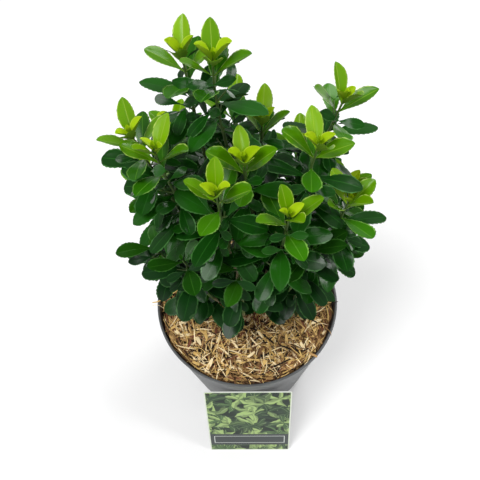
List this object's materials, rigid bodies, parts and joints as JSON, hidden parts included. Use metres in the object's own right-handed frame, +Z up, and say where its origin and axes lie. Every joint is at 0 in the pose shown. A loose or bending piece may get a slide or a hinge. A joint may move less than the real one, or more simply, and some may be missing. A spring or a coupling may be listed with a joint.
{
  "type": "potted japanese spindle",
  "caption": "Young evergreen spindle shrub with glossy opposite leaves on upright shoots, in a tapered nursery pot topped with chopped straw, with a picture card leaning on the pot.",
  "frame": {"origin": "middle of the pot's flat underside", "axes": "+Z up along the pot's axis; -Y towards the plant's front, where the picture card leans on the pot; +X to its right"},
  "size_m": [0.2262, 0.2379, 0.4654],
  "materials": {
    "pot_plastic": "dark grey moulded plastic, satin",
    "mulch_straw": "chopped straw and wood shavings over potting soil",
    "card_print": "thin stiff card with a printed leafy design",
    "bark": "green-brown young bark",
    "leaf_green": "glossy leathery leaf, lime at the shoot tips",
    "leaf_shade": "glossy leathery leaf, very dark green"
  },
  "bodies": {
    "root": {"bough_back": "bark", "bough_centre": "bark", "bough_front_right": "bark", "bough_inner_back": "bark", "bough_inner_left": "bark", "bough_low_front": "bark", "bough_low_front_left": "bark", "bough_low_front_right": "bark", "bough_low_left": "bark", "bough_low_rear": "bark", "bough_low_rear_left": "bark", "bough_low_rear_right": "bark", "bough_low_right": "bark", "bough_outer_back": "bark", "bough_outer_left": "bark", "bough_outer_right": "bark", "bough_rear": "bark", "bough_rear_left": "bark", "bough_rear_right": "bark", "foliage_back": "leaf_green", "foliage_back_left": "leaf_green", "foliage_back_right": "leaf_green", "foliage_centre": "leaf_green", "foliage_foot_front_left": "leaf_green", "foliage_foot_front_right": "leaf_green", "foliage_foot_left": "leaf_green", "foliage_foot_outer_left": "leaf_green", "foliage_foot_rear": "leaf_green", "foliage_foot_rear_left": "leaf_green", "foliage_foot_rear_right": "leaf_green", "foliage_foot_right": "leaf_green", "foliage_front": "leaf_green", "foliage_front_right": "leaf_green", "foliage_inner_back": "leaf_green", "foliage_inner_left": "leaf_green", "foliage_left": "leaf_green", "foliage_low_front": "leaf_shade", "foliage_low_front_left": "leaf_shade", "foliage_low_front_right": "leaf_shade", "foliage_low_left": "leaf_shade", "foliage_low_rear": "leaf_shade", "foliage_low_rear_left": "leaf_shade", "foliage_low_rear_right": "leaf_shade", "foliage_low_right": "leaf_shade", "foliage_outer_back": "leaf_green", "foliage_outer_left": "leaf_green", "foliage_outer_right": "leaf_green", "foliage_rear": "leaf_green", "foliage_rear_left": "leaf_green", "foliage_rear_right": "leaf_green", "foliage_right": "leaf_green", "mulch_bed": "mulch_straw", "picture_card": "card_print", "pot": "pot_plastic", "stem_back_left": "bark", "stem_back_right": "bark", "stem_front": "bark", "stem_left": "bark", "stem_right": "bark"}
  },
  "joints": []
}
